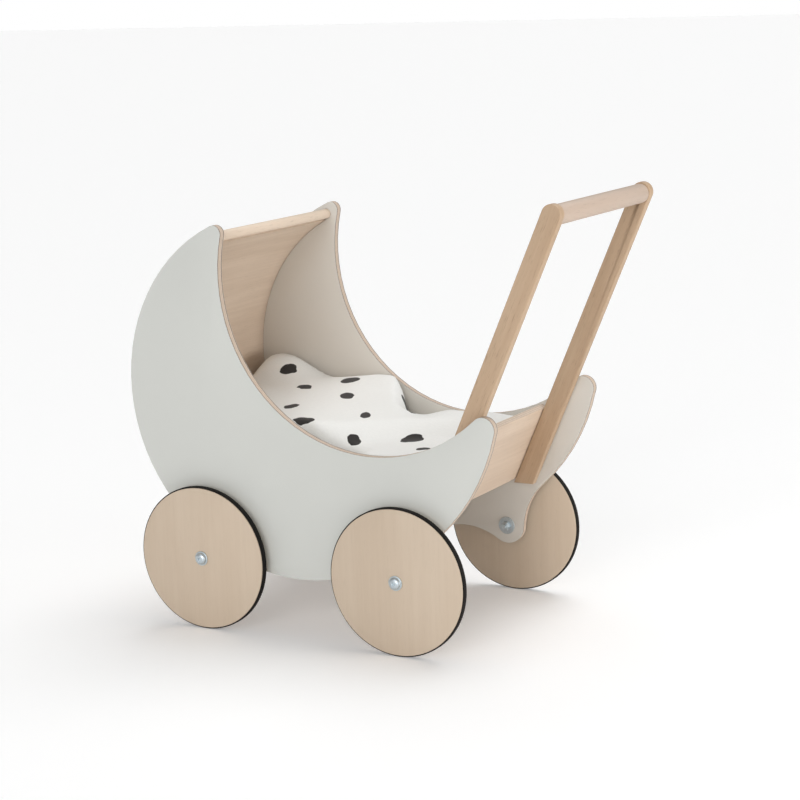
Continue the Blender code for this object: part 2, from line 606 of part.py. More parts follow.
for axle_name, axle_x in AXLES.items():
    for side_name, side in SIDES.items():
        corner = axle_name + "_" + side_name
        hub = bpy.data.objects.new("axle_" + corner, None)
        parts.objects.link(hub)
        hub.parent = frame
        hub.location = (axle_x, side * PANEL_OUTER_Y, AXLE_HEIGHT)
        hub.rotation_euler = (-side * pi / 2, 0.0, 0.0)
        turned("wheel_" + corner, ring(BUSH_OUTER + GAP, WHEEL_RADIUS, WHEEL_BACK, WHEEL_FACE),
               WHEEL_SEGMENTS, PLYWOOD, hub)
        turned("tyre_" + corner, ring(WHEEL_RADIUS + GAP, WHEEL_RADIUS + TYRE_THICKNESS, WHEEL_BACK, WHEEL_FACE,
                                      TYRE_ROUNDING), WHEEL_SEGMENTS, RUBBER, hub)
        turned("wheel_bush_" + corner, ring(BUSH_INNER, BUSH_OUTER, WHEEL_BACK, WHEEL_FACE), SMALL_SEGMENTS,
               NYLON, hub)
        turned("wheel_spacer_" + corner, ring(HOLE_RADIUS, SPACER_DIAMETER / 2, GAP, WHEEL_STANDOFF - GAP),
               SMALL_SEGMENTS, NYLON, hub)
        turned("head_washer_" + corner, ring(HOLE_RADIUS, HEAD_WASHER_DIAMETER / 2, WASHER_BACK, WASHER_FACE),
               SMALL_SEGMENTS, ZINC, hub)
        turned("nut_washer_" + corner, ring(HOLE_RADIUS, NUT_WASHER_DIAMETER / 2, NUT_WASHER_BACK,
                                            NUT_WASHER_FACE), SMALL_SEGMENTS, ZINC, hub)
        lock_nut("lock_nut_" + corner, hub)
        bolt = turned("axle_bolt_" + corner, bolt_profile(), SMALL_SEGMENTS, ZINC, hub, closed=False)
        socket = hexagon("bolt_socket_" + corner, BOLT_SOCKET_WIDTH, HEAD_TOP - BOLT_SOCKET_DEPTH,
                         HEAD_TOP + BOLT_SOCKET_DEPTH, None, hub, cutters)
        cut(bolt, socket)

# ---------------------------------------------------------------- bedding
BED_WIDTH = INNER_WIDTH - 2 * BEDDING_SIDE_CLEARANCE
MATTRESS_BOTTOM = FLOOR_TOP + GAP
MATTRESS_TOP = MATTRESS_BOTTOM + MATTRESS_THICKNESS
PILLOW_BOTTOM = MATTRESS_TOP + BEDDING_LAYER_GAP
PILLOW_TOP = PILLOW_BOTTOM + PILLOW_THICKNESS


def bed_end(height, hood_side):
    """X of the bedding's end at a height, clear of the hood sheet or of the foot panel."""
    hood_end, foot_end = floor_ends(min(height, HOOD_C.y))
    return hood_end + BEDDING_END_CLEARANCE if hood_side else foot_end - BEDDING_END_CLEARANCE


def bed_corner(height, hood_side):
    return Vector((bed_end(height, hood_side), height))


board("mattress", [bed_corner(MATTRESS_BOTTOM, True), bed_corner(MATTRESS_BOTTOM, False),
                   bed_corner(MATTRESS_TOP, False), bed_corner(MATTRESS_TOP, True)],
      BED_WIDTH, 0.0, COTTON)
pillow_end = bed_end(PILLOW_BOTTOM, True) + PILLOW_LENGTH
board("pillow", [bed_corner(PILLOW_BOTTOM, True), Vector((pillow_end, PILLOW_BOTTOM)),
                 Vector((pillow_end, PILLOW_TOP)), bed_corner(PILLOW_TOP, True)],
      BED_WIDTH, 0.0, COTTON)
upper = PILLOW_TOP + BEDDING_LAYER_GAP
step_start = pillow_end + BEDDING_LAYER_GAP
board("duvet", [bed_corner(upper, True), Vector((step_start, upper)),
                Vector((step_start, PILLOW_BOTTOM)), bed_corner(PILLOW_BOTTOM, False),
                bed_corner(PILLOW_BOTTOM + DUVET_THICKNESS, False),
                Vector((step_start + DUVET_STEP_LENGTH, PILLOW_BOTTOM + DUVET_THICKNESS)),
                Vector((step_start, upper + DUVET_THICKNESS)), bed_corner(upper + DUVET_THICKNESS, True)],
      BED_WIDTH, 0.0, COTTON)

for piece in parts.objects:
    if piece.type == "MESH":
        piece.data.shade_smooth()
        piece.data.set_sharp_from_angle(angle=SMOOTH_UP_TO)
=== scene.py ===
# %% [markdown]
# # A wooden doll stroller
# This lesson dresses a finished CAD frame. The frame gives every node its real place in metres, the
# bodies that it moves with and the joints that the wheels roll on. Here each piece gets the shape that the eye
# sees close up, such as a rounded board edge or a puffed duvet, and a finish built from shader nodes.
# The frame is loaded first, and nothing after that moves it.

# %% Load the frame
import bpy
import bmesh
from math import atan2, cos, degrees, pi, radians, sin, sqrt
from random import Random
from mathutils import Matrix, Vector, noise
from mathutils.bvhtree import BVHTree


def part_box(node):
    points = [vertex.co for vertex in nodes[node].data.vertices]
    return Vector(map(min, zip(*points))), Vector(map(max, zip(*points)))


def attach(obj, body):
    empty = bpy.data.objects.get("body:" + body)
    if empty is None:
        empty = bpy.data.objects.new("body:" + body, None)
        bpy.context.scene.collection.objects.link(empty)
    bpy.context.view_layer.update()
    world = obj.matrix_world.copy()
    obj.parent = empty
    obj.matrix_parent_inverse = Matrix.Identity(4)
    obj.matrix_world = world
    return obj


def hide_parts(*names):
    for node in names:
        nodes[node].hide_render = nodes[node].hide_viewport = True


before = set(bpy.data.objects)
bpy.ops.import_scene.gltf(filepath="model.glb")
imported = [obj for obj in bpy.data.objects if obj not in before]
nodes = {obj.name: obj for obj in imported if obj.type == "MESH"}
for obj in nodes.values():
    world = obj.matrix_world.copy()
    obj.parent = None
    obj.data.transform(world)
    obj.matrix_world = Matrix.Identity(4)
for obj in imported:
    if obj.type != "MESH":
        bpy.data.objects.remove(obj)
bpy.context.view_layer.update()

# %% [markdown]
# ## The camera
# A long lens from the push side, a little above the hood, keeps the wheels' ellipses calm and shows the
# bedding through the open mouth. The camera is built from three turns: round the pram, down towards it, and a
# slight roll. It comes first so that every later step can be looked at through it.

# %% Camera
CAMERA_PLACE = (1.2184, -2.0933, 0.7388)
CAMERA_AZIMUTH = radians(30.01)
CAMERA_ELEVATION = radians(11.25)
CAMERA_ROLL = radians(-1.87)
LENS = 95.2

camera_data = bpy.data.cameras.new("camera")
camera_data.lens = LENS
camera = bpy.data.objects.new("camera", camera_data)
camera.matrix_world = (Matrix.Translation(CAMERA_PLACE) @ Matrix.Rotation(CAMERA_AZIMUTH, 4, "Z")
                       @ Matrix.Rotation(pi / 2 - CAMERA_ELEVATION, 4, "X")
                       @ Matrix.Rotation(CAMERA_ROLL, 4, "Z"))
bpy.context.scene.collection.objects.link(camera)
bpy.context.scene.camera = camera
print("camera at", CAMERA_PLACE, "lens", LENS)

# %% [markdown]
# ## Floor and light
# A white floor leaves only soft shadows under the wheels. The world gives a little even light from all round,
# as a white room does, and shows itself pure white to the lens. One wide sun from above keeps the shadows down
# under the wheels, another from the front lights the faces and reaches into the bed, and a soft lamp low at the
# foot end shines up into the hood. Plain display colours keep the pale grey faces pale.

# %% Floor, world and lamps
FLOOR_SIZE = 60.0
WORLD_LIGHT = 0.38
WHITE = (1.0, 1.0, 1.0, 1.0)

bpy.context.scene.view_settings.view_transform = "Standard"
floor_model = bmesh.new()
bmesh.ops.create_grid(floor_model, x_segments=1, y_segments=1, size=FLOOR_SIZE / 2)
floor_mesh = bpy.data.meshes.new("studio_floor")
floor_model.to_mesh(floor_mesh)
floor_model.free()
floor = bpy.data.objects.new("studio_floor", floor_mesh)
bpy.context.scene.collection.objects.link(floor)

world = bpy.data.worlds.new("white_room")
bpy.context.scene.world = world
world.use_nodes = True
room = world.node_tree.nodes
light_of_room = room["Background"]
light_of_room.inputs["Color"].default_value = WHITE
light_of_room.inputs["Strength"].default_value = WORLD_LIGHT
sight_of_room = room.new("ShaderNodeBackground")
sight_of_room.inputs["Color"].default_value = WHITE
choice = room.new("ShaderNodeMixShader")
world.node_tree.links.new(room.new("ShaderNodeLightPath").outputs["Is Camera Ray"], choice.inputs[0])
world.node_tree.links.new(light_of_room.outputs[0], choice.inputs[1])
world.node_tree.links.new(sight_of_room.outputs[0], choice.inputs[2])
world.node_tree.links.new(choice.outputs[0], room["World Output"].inputs["Surface"])


def lamp(name, kind, place, aim, size, strength):
    """A soft lamp that shines from its place towards a point; size is a width, or an angle for a sun."""
    data = bpy.data.lights.new(name, kind)
    if kind == "SUN":
        data.angle = size
    else:
        data.size = size
    data.energy = strength
    light = bpy.data.objects.new(name, data)
    light.location = place
    light.rotation_euler = (Vector(aim) - Vector(place)).to_track_quat("-Z", "Y").to_euler()
    bpy.context.scene.collection.objects.link(light)


lamp("top_sun", "SUN", (0.1, 1.3, 2.7), (0.0, 0.0, 0.0), radians(50), 1.45)
lamp("front_sun", "SUN", (0.45, -2.2, 0.62), (0.0, 0.0, 0.0), radians(45), 1.42)
lamp("low_lamp", "AREA", (2.3, 0.05, 0.25), (0.0, 0.0, 0.85), 0.8, 25.0)
print("floor, world and lamps are in place")

# %% [markdown]
# ## Small tools for shader nodes
# Every finish here is a short chain of nodes. One helper makes a node and joins its inputs, one mixes two
# colours, and one turns a height pattern into relief. A pattern is placed in metres on Object coordinates by a
# Mapping node of type Texture, whose scale is simply the size of one repeat.

# %% Node helpers
def node(finish, kind, inputs=None, **settings):
    """Adds a shader node. An input is a plain value, a node (its first output) or an output socket."""
    made = finish.node_tree.nodes.new("ShaderNode" + kind)
    for key, value in settings.items():
        setattr(made, key, value)
    for key, value in (inputs or {}).items():
        if isinstance(value, bpy.types.Node):
            value = value.outputs[0]
        if isinstance(value, bpy.types.NodeSocket):
            finish.node_tree.links.new(value, made.inputs[key])
        else:
            made.inputs[key].default_value = value
    return made


def placed(finish, size, turn=(0.0, 0.0, 0.0), centre=(0.0, 0.0, 0.0), source=None):
    """Object coordinates moved to a centre, turned, and divided by the size of one repeat in metres."""
    if source is None:
        source = node(finish, "TexCoord").outputs["Object"]
    return node(finish, "Mapping", {"Vector": source, "Location": centre, "Rotation": turn, "Scale": size},
                vector_type="TEXTURE")


def blend_colours(finish, factor, first, second, how="MIX"):
    """First colour where the factor is 0, second where it is 1."""
    made = node(finish, "Mix", data_type="RGBA", blend_type=how)
    for socket, value in ((made.inputs[0], factor), (made.inputs[6], first), (made.inputs[7], second)):
        if isinstance(value, bpy.types.Node):
            value = value.outputs[0]
        if isinstance(value, bpy.types.NodeSocket):
            finish.node_tree.links.new(value, socket)
        else:
            socket.default_value = value
    return made.outputs[2]


def ramp(finish, factor, stops, interpolation="LINEAR"):
    """A colour ramp with (place, colour) stops; a colour may be one grey value."""
    made = node(finish, "ValToRGB", {"Fac": factor})
    made.color_ramp.interpolation = interpolation
    while len(made.color_ramp.elements) < len(stops):
        made.color_ramp.elements.new(0.5)
    for element, (place, colour) in zip(made.color_ramp.elements, stops):
        element.position = place
        element.color = (colour, colour, colour, 1.0) if isinstance(colour, float) else (*colour, 1.0)
    return made.outputs["Color"]


def sums(finish, operation, first, second=0.0, third=0.0):
    """One Math node."""
    return node(finish, "Math", {0: first, 1: second, 2: third}, operation=operation).outputs[0]


def new_finish(name, roughness=0.5, metallic=0.0):
    """A fresh material with its Principled shader."""
    finish = bpy.data.materials.new(name)
    finish.use_nodes = True
    shader = finish.node_tree.nodes["Principled BSDF"]
    shader.inputs["Roughness"].default_value = roughness
    shader.inputs["Metallic"].default_value = metallic
    return finish, shader


def join(finish, value, socket):
    """Joins a node or an output to a socket of the shader."""
    if isinstance(value, bpy.types.Node):
        value = value.outputs[0]
    finish.node_tree.links.new(value, socket)


def relief(finish, shader, height, depth, strength=1.0, under=None):
    """Turns a height pattern into bump of a depth in metres."""
    inputs = {"Height": height, "Distance": depth, "Strength": strength}
    if under is not None:
        inputs["Normal"] = under
    made = node(finish, "Bump", inputs)
    join(finish, made, shader.inputs["Normal"])
    return made


print("node helpers ready")

# %% [markdown]
# ## Wood
# Beech and birch are pale, even woods. What the eye reads as wood is three things: slow changes of tone along
# the grain, fine dark pores much longer than they are wide, and a faint relief from the same pores. All three
# are noise, stretched along the grain by the Mapping node, so the same function serves every board and dowel;
# only the colours, the direction and the strength of the pores change.

# %% Wood finishes
GRAIN_LENGTH = 0.30
GRAIN_WIDTH = 0.011
PORE_LENGTH = 0.014
PORE_WIDTH = 0.0009
ALONG_Y = (0.0, 0.0, pi / 2)
ALONG_Z = (0.0, -pi / 2, 0.0)


def wood(name, pale, dark, turn, pores=0.5, figure=1.0, roughness=0.5, shift=(0.0, 0.0, 0.0)):
    """Clear-lacquered wood with its grain along the turned X axis."""
    finish, shader = new_finish(name, roughness)
    wide = placed(finish, (GRAIN_LENGTH, GRAIN_WIDTH * 3, GRAIN_WIDTH * 3), turn, shift)
    slow = node(finish, "TexNoise", {"Vector": wide, "Scale": 1.0, "Detail": 3.0, "Distortion": 0.6})
    narrow = placed(finish, (GRAIN_LENGTH / 2, GRAIN_WIDTH / 3, GRAIN_WIDTH / 3), turn, shift)
    lines = node(finish, "TexNoise", {"Vector": narrow, "Scale": 1.0, "Detail": 5.0, "Roughness": 0.62})
    tone = sums(finish, "MULTIPLY_ADD", slow, 0.62, sums(finish, "MULTIPLY", lines, 0.38))
    spread = 0.16 / figure
    colour = ramp(finish, tone, ((0.5 - spread, dark), (0.5 + spread, pale)))
    fine = placed(finish, (PORE_LENGTH, PORE_WIDTH, PORE_WIDTH), turn, shift)
    specks = node(finish, "TexNoise", {"Vector": fine, "Scale": 1.0, "Detail": 2.0})
    pore = ramp(finish, specks, ((0.60, 0.0), (0.74, 1.0)))
    pore_colour = tuple(channel * 0.55 for channel in dark) + (1.0,)
    weight = sums(finish, "MULTIPLY", pore, pores)
    join(finish, blend_colours(finish, weight, colour, pore_colour), shader.inputs["Base Color"])
    join(finish, sums(finish, "MULTIPLY_ADD", lines, 0.16, roughness - 0.08), shader.inputs["Roughness"])
    relief(finish, shader, sums(finish, "MULTIPLY_ADD", pore, -0.7, lines), 0.00012, 0.5)
    return finish


BIRCH_PALE = (0.66, 0.545, 0.425)
BIRCH_DARK = (0.56, 0.44, 0.325)
# painted shade: the legs' beech colours are darkened where the lamps light the legs strongly
BEECH_PALE = (0.55, 0.395, 0.265)
BEECH_DARK = (0.45, 0.305, 0.190)
LEG_LEAN = radians(23.9)
ALONG_LEG = (0.0, -(pi / 2 - LEG_LEAN), 0.0)

birch_across = wood("birch_across", (0.69, 0.555, 0.435), (0.57, 0.435, 0.325), ALONG_Y, pores=0.25)
birch_upright = wood("birch_upright", BIRCH_PALE, BIRCH_DARK, ALONG_Z, pores=0.12, figure=0.45)
# painted light and shade: one beech in three copies, paler for the brightly lit crossbar, darker for the grip
# and the legs where the lamps light them strongly
beech_across_painted_light = wood("beech_across_painted_light", (0.80, 0.66, 0.53), (0.70, 0.56, 0.43), ALONG_Y, pores=0.35, figure=0.7)
beech_grip_painted_shade = wood("beech_grip_painted_shade", (0.57, 0.45, 0.365), (0.50, 0.385, 0.30), ALONG_Y, pores=0.35, figure=0.7)
beech_leg_painted_shade = wood("beech_leg_painted_shade", BEECH_PALE, BEECH_DARK, ALONG_LEG, pores=0.5)
print("wood finishes:", birch_across.name, birch_upright.name, beech_across_painted_light.name, beech_leg_painted_shade.name)

# %% [markdown]
# ## Plywood edges
# A cut edge of plywood shows its veneers: every other one is cut across its fibres and looks darker, with a
# thin glue line between. The side panels carry a laminate skin on both faces. Next to each face the edge gets a
# brown band that is partly the laminate's dark core and partly painted shade on the rounded arris. All of it
# depends only on how deep a point lies between the two faces, so the pattern is drawn across that one distance.

# %% Edge finishes
VENEER = 0.0013


def ply_edge(name, centre, turn, thickness, skin=False):
    """Veneers across the turned Z axis, about a centre; skin adds the grey laminate face and a brown band beside
    it, partly the laminate's core and partly painted shade.
    """
    finish, shader = new_finish(name, 0.6)
    flat = placed(finish, (1.0, 1.0, 1.0), turn, centre)
    depth = node(finish, "SeparateXYZ", {"Vector": flat}).outputs["Z"]
    swing = sums(finish, "SINE", sums(finish, "MULTIPLY", depth, pi / VENEER))
    layer = ramp(finish, sums(finish, "MULTIPLY_ADD", swing, 0.5, 0.5),
                 ((0.30, (0.68, 0.555, 0.445)), (0.62, (0.56, 0.44, 0.34))))
    fibre = node(finish, "TexNoise", {"Vector": placed(finish, (0.004, 0.004, 0.0006), turn, centre),
                                      "Scale": 1.0, "Detail": 4.0})
    grey = ramp(finish, fibre, ((0.30, 0.82), (0.70, 1.0)))
    colour = blend_colours(finish, 1.0, layer, grey, "MULTIPLY")
    if skin:
        share = sums(finish, "DIVIDE", sums(finish, "ABSOLUTE", depth), thickness / 2)
        # painted shade: the brown band by each face is partly the laminate's dark core and partly the shade on
        # the rounded arris, painted into the colour
        line = ramp(finish, share, ((0.0, 0.0), (0.66, 1.0)), "CONSTANT")
        colour = blend_colours(finish, line, colour, (0.235, 0.180, 0.150, 1.0))
        face = ramp(finish, share, ((0.0, 0.0), (0.95, 1.0)), "CONSTANT")
        colour = blend_colours(finish, face, colour, (*LAMINATE_COLOUR, 1.0))
    join(finish, colour, shader.inputs["Base Color"])
    relief(finish, shader, fibre, 0.0002, 0.4)
    return finish


LAMINATE_COLOUR = (0.638, 0.646, 0.611)
# painted light: a warmer tint of the same laminate that stands for warm light bounced from the wood inside the
# bed
INNER_PAINTED_WARM_LIGHT_COLOUR = (0.675, 0.638, 0.580)
PANEL_LOW, PANEL_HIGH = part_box("side_panel_right")
PANEL_THICKNESS = PANEL_HIGH[1] - PANEL_LOW[1]
PANEL_MIDDLE = (PANEL_HIGH[1] + PANEL_LOW[1]) / 2
DEPTH_IS_Y = (-pi / 2, 0.0, 0.0)
panel_edges = {name: ply_edge("panel_edge_" + name, (0.0, side * PANEL_MIDDLE, 0.0), DEPTH_IS_Y,
                              PANEL_THICKNESS, skin=True)
               for name, side in (("left", -1), ("right", 1))}
print("panel thickness", round(PANEL_THICKNESS, 4), "edges:", sorted(panel_edges))

# %% [markdown]
# ## Laminate
# The side panels are faced with a pale grey laminate. It is nearly one colour, so its life is in the surface:
# a very fine pebbled texture that breaks up reflections, a faint unevenness of tone, and a few hair-fine
# scuffs that only show when light rakes along them. The faces towards the bed get a warmer copy of the same
# laminate: painted warm light bounced from the wood inside the bed.

# %% Laminate finish
def laminate(name, base):
    finish, shader = new_finish(name, 0.42)
    cloudy = node(finish, "TexNoise", {"Vector": placed(finish, (0.09, 0.09, 0.09)), "Scale": 1.0,
                                       "Detail": 3.0})
    tone = ramp(finish, cloudy, ((0.25, tuple(c * 0.975 for c in base)), (0.75, base)))
    scuff_field = node(finish, "TexNoise", {"Vector": placed(finish, (0.12, 0.001, 0.0016), (0.3, 0.5, 0.2)),
                                            "Scale": 1.0, "Detail": 1.0})
    scuff = ramp(finish, scuff_field, ((0.76, 0.0), (0.80, 1.0)))
    pale = tuple(min(1.0, c * 1.05) for c in base) + (1.0,)
    join(finish, blend_colours(finish, sums(finish, "MULTIPLY", scuff, 0.35), tone, pale),
         shader.inputs["Base Color"])
    join(finish, sums(finish, "MULTIPLY_ADD", scuff, 0.12, sums(finish, "MULTIPLY_ADD", cloudy, 0.10, 0.36)),
         shader.inputs["Roughness"])
    pebble = node(finish, "TexNoise", {"Vector": placed(finish, (0.0007, 0.0007, 0.0007)), "Scale": 1.0,
                                       "Detail": 2.0})
    relief(finish, shader, pebble, 0.00005, 0.5)
    return finish


grey_laminate = laminate("grey_laminate", LAMINATE_COLOUR)
# painted light: the copy for the faces towards the bed is tinted warm to stand for bounced light
inner_laminate_painted_warm_light = laminate("inner_laminate_painted_warm_light", INNER_PAINTED_WARM_LIGHT_COLOUR)
print("laminate finishes:", grey_laminate.name, inner_laminate_painted_warm_light.name)

# %% [markdown]
# ## Rubber, zinc and nylon
# The tyres are plain black rubber bands, dull and faintly dusty. Bolts, nuts and washers are zinc plated: a
# cool metal whose crystals scatter the highlight unevenly. Bushes and spacers are natural nylon, a milky
# plastic that lets a little light in.

# %% Rubber, zinc and nylon finishes
def rubber(name):
    finish, shader = new_finish(name, 0.8)
    shader.inputs["Specular IOR Level"].default_value = 0.25
    dust = node(finish, "TexNoise", {"Vector": placed(finish, (0.012, 0.012, 0.012)), "Scale": 1.0,
                                     "Detail": 6.0})
    join(finish, ramp(finish, dust, ((0.35, (0.004, 0.003, 0.0025)), (0.80, (0.014, 0.010, 0.008)))),
         shader.inputs["Base Color"])
    grain = node(finish, "TexNoise", {"Vector": placed(finish, (0.0009, 0.0009, 0.0009)), "Scale": 1.0,
                                      "Detail": 3.0})
    relief(finish, shader, grain, 0.00012, 0.6)
    return finish


def zinc(name):
    finish, shader = new_finish(name, 0.34, 1.0)
    crystal = node(finish, "TexVoronoi", {"Vector": placed(finish, (0.0016, 0.0016, 0.0016)), "Scale": 1.0})
    join(finish, ramp(finish, crystal, ((0.0, (0.54, 0.61, 0.65)), (0.9, (0.68, 0.75, 0.79)))),
         shader.inputs["Base Color"])
    patch = node(finish, "TexNoise", {"Vector": placed(finish, (0.003, 0.003, 0.003)), "Scale": 1.0,
                                      "Detail": 4.0})
    join(finish, sums(finish, "MULTIPLY_ADD", patch, 0.22, 0.30), shader.inputs["Roughness"])
    relief(finish, shader, crystal.outputs["Distance"], 0.00003, 0.5)
    return finish


def nylon(name):
    finish, shader = new_finish(name, 0.45)
    milky = node(finish, "TexNoise", {"Vector": placed(finish, (0.004, 0.004, 0.004)), "Scale": 1.0,
                                      "Detail": 3.0})
    join(finish, ramp(finish, milky, ((0.3, (0.70, 0.68, 0.62)), (0.7, (0.78, 0.77, 0.72)))),
         shader.inputs["Base Color"])
    shader.inputs["Subsurface Weight"].default_value = 0.15
    shader.inputs["Subsurface Scale"].default_value = 0.002
    relief(finish, shader, milky, 0.00005, 0.4)
    return finish


black_rubber = rubber("black_rubber")
bright_zinc = zinc("bright_zinc")
white_nylon = nylon("white_nylon")
print("finishes:", black_rubber.name, bright_zinc.name, white_nylon.name)

# %% [markdown]
# ## Making a piece
# Each piece below starts as a bmesh. When its shape is done it becomes one object at the origin, rides on its
# body, takes its finishes and hides the CAD node that it replaces. Faces that lie flat across an axis stay
# flat, and the rest are smooth, so a rounded edge shades as one curve.

# %% Piece helpers
WELD = 0.000002


def finish_piece(name, model, body, slot, finishes, stands_for=(), flat_along=None):
    """Turns a bmesh into a riding piece; faces square to flat_along are shaded flat."""
    for face in model.faces:
        across = flat_along is not None and abs(face.normal.dot(Vector(flat_along))) > 0.999
        face.smooth = not across
    mesh = bpy.data.meshes.new(name)
    model.to_mesh(mesh)
    model.free()
    mesh.set_sharp_from_angle(angle=radians(40))
    for finish in finishes:
        mesh.materials.append(finish)
    piece = bpy.data.objects.new(name, mesh)
    bpy.context.scene.collection.objects.link(piece)
    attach(piece, body)
    if stands_for:
        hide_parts(*stands_for)
    return piece


def copy_of(name):
    """A copy of a CAD node with its loose triangles merged and its flat faces made whole."""
    model = bmesh.new()
    model.from_mesh(nodes[name].data)
    bmesh.ops.remove_doubles(model, verts=model.verts, dist=WELD)
    bmesh.ops.dissolve_limit(model, angle_limit=radians(0.6), verts=model.verts, edges=model.edges)
    return model


def round_edges(model, edges, radius, segments=3):
    """Rounds a list of edges and returns the new faces."""
    made = bmesh.ops.bevel(model, geom=edges, offset=radius, offset_type="OFFSET", affect="EDGES",
                           segments=segments, profile=0.5, material=-1, clamp_overlap=True)
    return made["faces"]


def middle_of(name):
    low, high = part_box(name)
    return (Vector(low) + Vector(high)) / 2


print("piece helpers ready")

# %% [markdown]
# ## Side panels
# Each side panel is a half moon with two lobes for the wheels. The CAD node already has the right outline,
# groove and holes, so the panel is a copy of it. What it lacks is the routed edge: the maker breaks both rims
# with a small round. The rim is found by its faces, the only ones that reach from one side of the board to
# the other, apart from the two bolt holes. The rim then takes the plywood edge finish.

# %% Side panels
PANEL_ROUNDING = 0.0011
HOLE_REACH = 0.006
EDGE_SLOT = 1
INNER_SLOT = 2


def spans(face, axis, length):
    """True if a face reaches across nearly the whole length along an axis."""
    places = [vertex.co[axis] for vertex in face.verts]
    return max(places) - min(places) > length * 0.95


def side_panel(side_name):
    name = "side_panel_" + side_name
    model = copy_of(name)
    axles = [middle_of("axle_bolt_%s_%s" % (end, side_name)) for end in ("front", "rear")]

    def near_axle(face):
        centre = face.calc_center_median()
        return any(sqrt((centre.x - a.x) ** 2 + (centre.z - a.z) ** 2) < HOLE_REACH for a in axles)

    rim = [face for face in model.faces if spans(face, 1, PANEL_THICKNESS) and not near_axle(face)]
    for face in rim:
        face.material_index = EDGE_SLOT
    arrises = [edge for edge in model.edges if len(edge.link_faces) == 2
               and (edge.link_faces[0] in rim) != (edge.link_faces[1] in rim)]
    for face in round_edges(model, arrises, PANEL_ROUNDING):
        face.material_index = EDGE_SLOT
    model.normal_update()
    inward = 1.0 if side_name == "left" else -1.0
    # the faces towards the bed take the warmer laminate copy, which paints in warm light bounced inside the bed
    for face in model.faces:
        if face.material_index != EDGE_SLOT and face.normal.y * inward > 0.5:
            face.material_index = INNER_SLOT
    print(name, "rim faces", len(rim), "arrises", len(arrises))
    return finish_piece(name + "_board", model, "pram_body", "laminate",
                        [grey_laminate, panel_edges[side_name], inner_laminate_painted_warm_light], [name], (0.0, 1.0, 0.0))


for side_name in ("left", "right"):
    side_panel(side_name)

# %% [markdown]
# ## Hood and crossbar
# The hood is one thin plywood sheet bent round the back of the moon and let into a groove on each side. A
# round beech bar closes its front edge. The sheet is spun: a short upright section is turned about the hood's
# own centre in fine steps, which bends smoother than the CAD facets. The bar is a spun dowel with eased ends.

# %% Hood sheet and crossbar
HOOD_CENTRE = Vector((-0.0719, 0.0, 0.2831))
HOOD_STEPS = 96


def spun(profile, centre, axis, steps=64, angle=2 * pi):
    """Spins a closed section of points about an axis through a centre."""
    model = bmesh.new()
    corners = [model.verts.new(point) for point in profile]
    edges = [model.edges.new(pair) for pair in zip(corners, corners[1:] + corners[:1])]
    whole = angle >= 2 * pi - 0.0001
    if not whole:
        model.faces.new(corners)
    geometry = corners + edges + list(model.faces)
    bmesh.ops.spin(model, geom=geometry, cent=centre, axis=axis, angle=angle, steps=steps,
                   use_merge=whole, use_duplicate=False)
    bmesh.ops.remove_doubles(model, verts=model.verts, dist=WELD)
    bmesh.ops.recalc_face_normals(model, faces=model.faces)
    return model


def rod(name, low, high, radius, ease, body, slot, finish, stands_for, steps=40):
    """A dowel along Y between two ends, with eased rims."""
    centre = (Vector(low) + Vector(high)) / 2
    half = abs(high[1] - low[1]) / 2
    section = [(0.0, -half), (radius - ease, -half), (radius - ease * 0.3, -half + ease * 0.3),
               (radius, -half + ease), (radius, half - ease), (radius - ease * 0.3, half - ease * 0.3),
               (radius - ease, half), (0.0, half)]
    model = spun([centre + Vector((r, y, 0.0)) for r, y in section], centre, (0.0, 1.0, 0.0), steps)
    return finish_piece(name, model, body, slot, [finish], stands_for, (0.0, 1.0, 0.0))


bar_low, bar_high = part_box("hood_crossbar")
rod("crossbar_dowel", bar_low, bar_high, (bar_high[2] - bar_low[2]) / 2, 0.0008, "pram_body", "beech",
    beech_across_painted_light, ["hood_crossbar"])
hood_low, hood_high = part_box("hood_shell")
arms = [vertex.co - HOOD_CENTRE for vertex in nodes["hood_shell"].data.vertices]
reaches = [sqrt(arm.x ** 2 + arm.z ** 2) for arm in arms]
turns = [atan2(arm.z, arm.x) % (2 * pi) for arm in arms]
hood_section = [HOOD_CENTRE + Vector((reach * cos(min(turns)), y, reach * sin(min(turns))))
                for reach, y in ((min(reaches), hood_low[1]), (max(reaches), hood_low[1]),
                                 (max(reaches), hood_high[1]), (min(reaches), hood_high[1]))]
hood = spun(hood_section, HOOD_CENTRE, (0.0, -1.0, 0.0), HOOD_STEPS, max(turns) - min(turns))
finish_piece("hood_sheet", hood, "pram_body", "birch_plywood", [birch_across], ["hood_shell"], (0.0, 1.0, 0.0))
print("hood sheet from", round(degrees(min(turns))), "to", round(degrees(max(turns))), "degrees")

# %% [markdown]
# ## Floor and foot panel
# Both are plywood boards between the side panels. The foot panel leans with the handle and its top edge is
# seen from above, so its rim is eased and shows the veneers.

# %% Floor and foot panel
BOARD_ROUNDING = 0.0009
LONG_EDGE = 0.02


def board(name, finishes, piece_name, top_is_edge):
    model = copy_of(name)
    arrises = [edge for edge in model.edges if edge.calc_length() > LONG_EDGE and len(edge.link_faces) == 2
               and edge.calc_face_angle() > radians(30)
               and abs((edge.verts[0].co - edge.verts[1].co).normalized().y) > 0.9]
    round_edges(model, arrises, BOARD_ROUNDING)
    if top_is_edge:
        for face in model.faces:
            if abs(face.normal.y) < 0.1 and face.normal.z > 0.7:
                face.material_index = EDGE_SLOT
    return finish_piece(piece_name, model, "pram_body", "birch_plywood", finishes, [name], (0.0, 1.0, 0.0))


foot_edge = ply_edge("foot_panel_edge", middle_of("foot_panel"), (0.0, pi / 2 + LEG_LEAN, 0.0), 0.008)
board("foot_panel", [birch_across, foot_edge], "foot_panel_board", True)
board("floor_panel", [birch_across], "floor_board", False)
print("floor and foot panel made")

